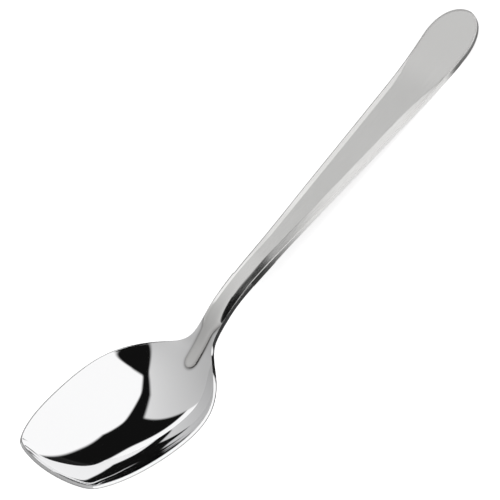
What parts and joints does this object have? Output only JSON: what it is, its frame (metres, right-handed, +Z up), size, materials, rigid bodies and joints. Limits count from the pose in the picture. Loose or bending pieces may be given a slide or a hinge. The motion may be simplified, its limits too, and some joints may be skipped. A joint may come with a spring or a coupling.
{
  "type": "serving spoon",
  "caption": "Stainless serving spoon with a wide, mirror-polished, blunt-ended bowl and a long satin handle with bevelled edges, spot-welded on by a round tongue.",
  "frame": {"origin": "on the table under the middle of the spoon's length and width, with the spoon lying on its bowl and the end of its handle", "axes": "+X along the spoon from the bowl's tip to the handle's end, +Y across the bowl, +Z up out of the bowl"},
  "size_m": [0.224, 0.0534, 0.0305],
  "materials": {
    "polished_steel": "mirror polished",
    "satin_steel": "satin",
    "weld_steel": "as welded"
  },
  "bodies": {
    "root": {"bowl": "polished_steel", "handle": "satin_steel", "spot_welds": "weld_steel"}
  },
  "joints": []
}
